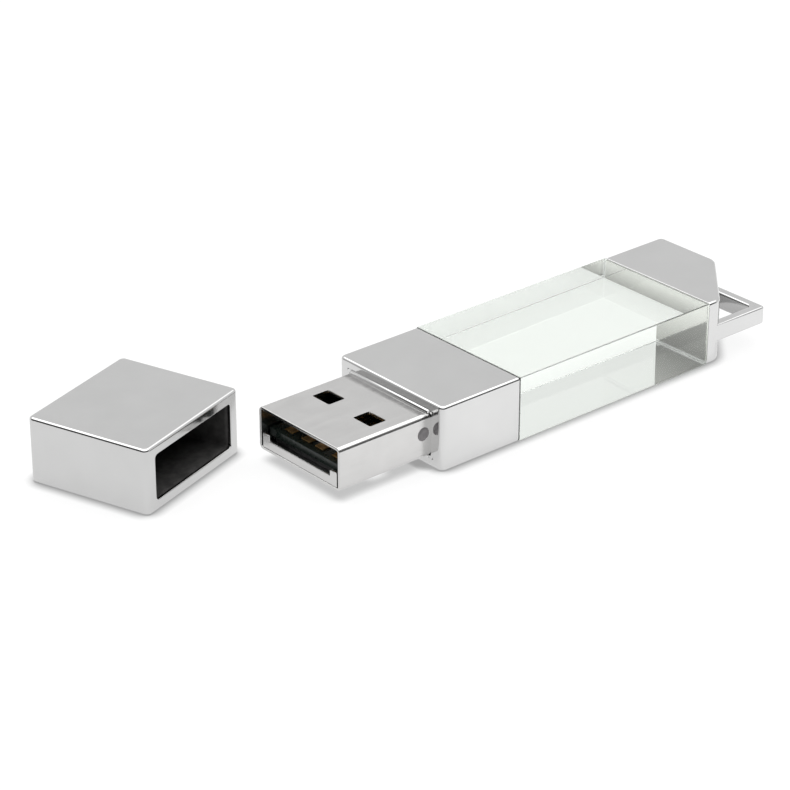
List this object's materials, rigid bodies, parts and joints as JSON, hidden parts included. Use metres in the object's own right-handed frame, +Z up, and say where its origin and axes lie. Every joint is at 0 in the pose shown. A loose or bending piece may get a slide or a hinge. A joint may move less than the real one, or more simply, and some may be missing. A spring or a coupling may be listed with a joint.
{
  "type": "flash drive",
  "caption": "Pull-cap flash drive: a clear glass block between polished metal ends, with a connector plug at the front, a lanyard loop at the tail and its cap lying beside it.",
  "frame": {"origin": "middle of the glass block's underside, on the surface the drive lies on", "axes": "+X from the connector plug to the tail, +Y towards the side where the cap lies, +Z up out of the surface"},
  "size_m": [0.075, 0.0287, 0.0068],
  "materials": {
    "polished_metal": "polished plated die casting",
    "plated_steel": "satin nickel-plated pressed steel",
    "clear_glass": "polished clear optical glass with a faint green tint",
    "adhesive": "cured grey adhesive film",
    "black_plastic": "moulded black plastic",
    "epoxy": "moulded black epoxy",
    "board_laminate": "dark solder mask on laminate",
    "contact_gold": "gold-plated copper pad",
    "crystal_can": "drawn metal can",
    "capacitor_ceramic": "fired ceramic chip"
  },
  "bodies": {
    "drive": {"front_housing": "polished_metal", "plug_collar": "polished_metal", "tail_cap": "polished_metal", "plug_shell": "plated_steel", "board_support": "plated_steel", "glass_block": "clear_glass", "front_bond": "adhesive", "tail_bond": "adhesive", "board_frame": "black_plastic", "resistor_1": "black_plastic", "resistor_2": "black_plastic", "memory_package": "epoxy", "controller_chip": "epoxy", "circuit_board": "board_laminate", "contact_1": "contact_gold", "contact_2": "contact_gold", "contact_3": "contact_gold", "contact_4": "contact_gold", "clock_crystal": "crystal_can", "capacitor_1": "capacitor_ceramic", "capacitor_2": "capacitor_ceramic", "capacitor_3": "capacitor_ceramic"},
    "cap": {"cap_shell": "polished_metal", "cap_liner": "black_plastic"}
  },
  "joints": [
    {"name": "cap_turn", "type": "hinge", "parent": "drive", "child": "cap", "pos_m": [-0.03561, 0.0063, 0.0034], "axis": [0, 0, 1], "range_deg": [0, 71.5]}
  ]
}
